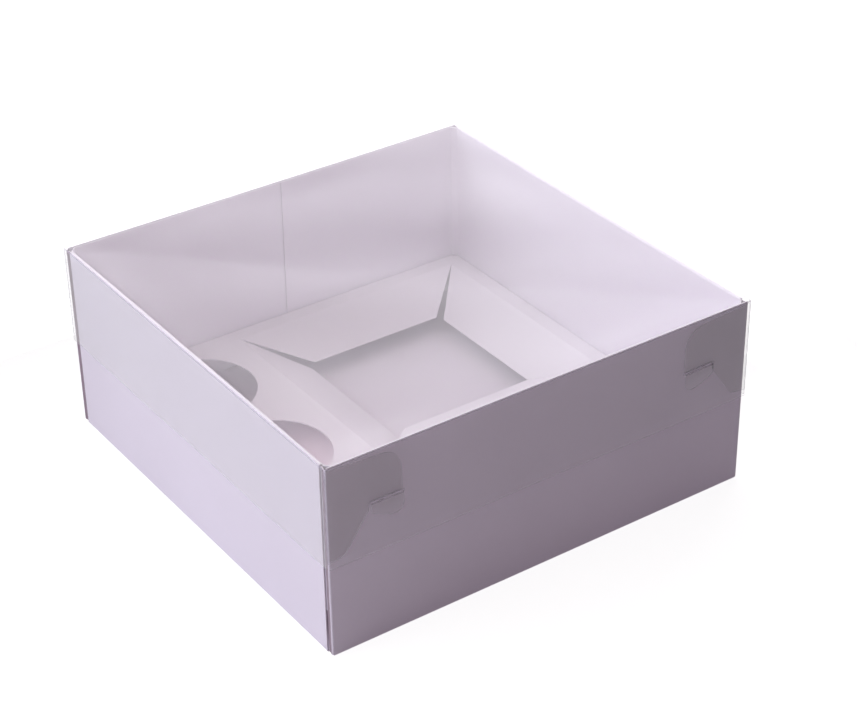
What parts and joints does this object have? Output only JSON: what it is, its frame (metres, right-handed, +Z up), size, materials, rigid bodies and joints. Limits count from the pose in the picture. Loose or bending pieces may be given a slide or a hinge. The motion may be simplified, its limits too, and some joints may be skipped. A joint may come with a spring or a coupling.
{
  "type": "cupcake box",
  "caption": "Square white card bakery box with a clear folded film lid and a card insert with a cake window and round cupcake holes.",
  "frame": {"origin": "on the surface that the box stands on, under the middle of the box", "axes": "+Z up; -Y out of the plain front wall, +Y out of the plain back wall, -X and +X out of the two rolled walls; the cake window is towards +X and +Y"},
  "size_m": [0.2418, 0.2436, 0.1026],
  "materials": {
    "card": "smooth white folding carton with a faint lilac cast, matt",
    "insert_card": "smooth white folding carton, matt",
    "clear_film": "clear glossy folded plastic film"
  },
  "bodies": {
    "base": {"tray": "card", "insert": "insert_card"},
    "lid": {"lid": "clear_film"}
  },
  "joints": [
    {"name": "lid_lift", "type": "slide", "parent": "base", "child": "lid", "axis": [0, 0, 1], "range_m": [0, 0.08]}
  ]
}
